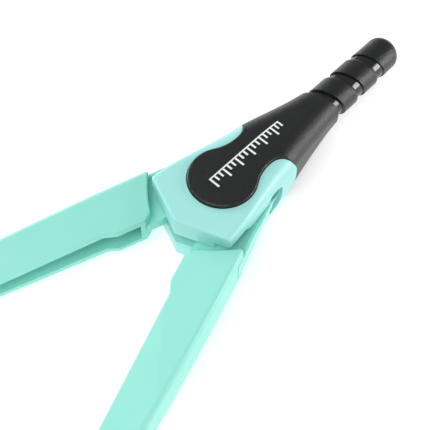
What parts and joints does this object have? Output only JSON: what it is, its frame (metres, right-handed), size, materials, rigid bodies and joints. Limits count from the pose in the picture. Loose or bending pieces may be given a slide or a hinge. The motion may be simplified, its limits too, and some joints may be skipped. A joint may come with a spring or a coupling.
{
  "type": "drawing compass",
  "caption": "School drawing compass with mint plastic channel legs, a mint clevis head and a black handle with slanted grip collars; geared legs, needle point and swivelling pencil holder.",
  "frame": {"origin": "centre of the round end of the handle's back plate, on the face it lies on", "axes": "+X across the compass, +Y along the handle towards the knob, +Z from the back face to the front face"},
  "size_m": [0.0879, 0.1467, 0.0139],
  "materials": {
    "leg_mint": "satin moulded ABS",
    "head_mint": "satin moulded ABS, a slightly bluer batch",
    "handle_black": "fine spark-eroded texture, polished in the grooves",
    "cap_black": "smooth moulded",
    "steel": "bright nickel plate",
    "brass": "turned"
  },
  "bodies": {
    "head": {"handle": "handle_black", "back_plate": "handle_black", "head_clevis": "head_mint", "pivot_pin_left": "steel", "pivot_pin_right": "steel", "pivot_screw_left": "steel", "pivot_screw_right": "steel", "friction_washer_left": "steel", "friction_washer_right": "steel"},
    "left_leg": {"needle_leg": "leg_mint", "needle_carrier": "handle_black", "carrier_screw": "steel", "needle_insert": "brass"},
    "needle_body": {"needle": "steel"},
    "needle_screw_body": {"needle_screw": "steel"},
    "cap_body": {"needle_cap": "cap_black"},
    "right_leg": {"pencil_leg": "leg_mint", "holder_pin": "steel"},
    "holder_body": {"pencil_holder": "handle_black", "clamp_nut": "brass"},
    "clamp_screw_body": {"clamp_screw": "steel", "clamp_knob": "handle_black"}
  },
  "joints": [
    {"name": "left_leg_hinge", "type": "hinge", "parent": "head", "child": "left_leg", "pos_m": [-0.0045, -0.001, 0.00695], "axis": [0, 0, -1], "range_deg": [-19, 30]},
    {"name": "right_leg_hinge", "type": "hinge", "parent": "head", "child": "right_leg", "pos_m": [0.0045, -0.001, 0.00695], "axis": [0, 0, 1], "range_deg": [-19, 30]},
    {"name": "pencil_holder_swivel", "type": "hinge", "parent": "right_leg", "child": "holder_body", "pos_m": [0.02583, -0.06494, 0.00695], "axis": [0, 0, -1], "range_deg": [-12, 45]},
    {"name": "clamp_screw_turn", "type": "hinge", "parent": "holder_body", "child": "clamp_screw_body", "pos_m": [0.04644, -0.06905, 0.00695], "axis": [0.9455, 0.3256, 0], "continuous": true},
    {"name": "needle_screw_turn", "type": "hinge", "parent": "left_leg", "child": "needle_screw_body", "pos_m": [-0.02837, -0.07232, 0.00995], "axis": [0, 0, 1], "continuous": true},
    {"name": "needle_slide", "type": "slide", "parent": "left_leg", "child": "needle_body", "axis": [-0.3256, -0.9455, 0], "range_m": [-0.003, 0]},
    {"name": "needle_cap_slide", "type": "slide", "parent": "left_leg", "child": "cap_body", "axis": [-0.3256, -0.9455, 0], "range_m": [0, 0.018]}
  ],
  "couplings": [
    {"joint": "right_leg_hinge", "follows": "left_leg_hinge", "ratio": 1}
  ]
}
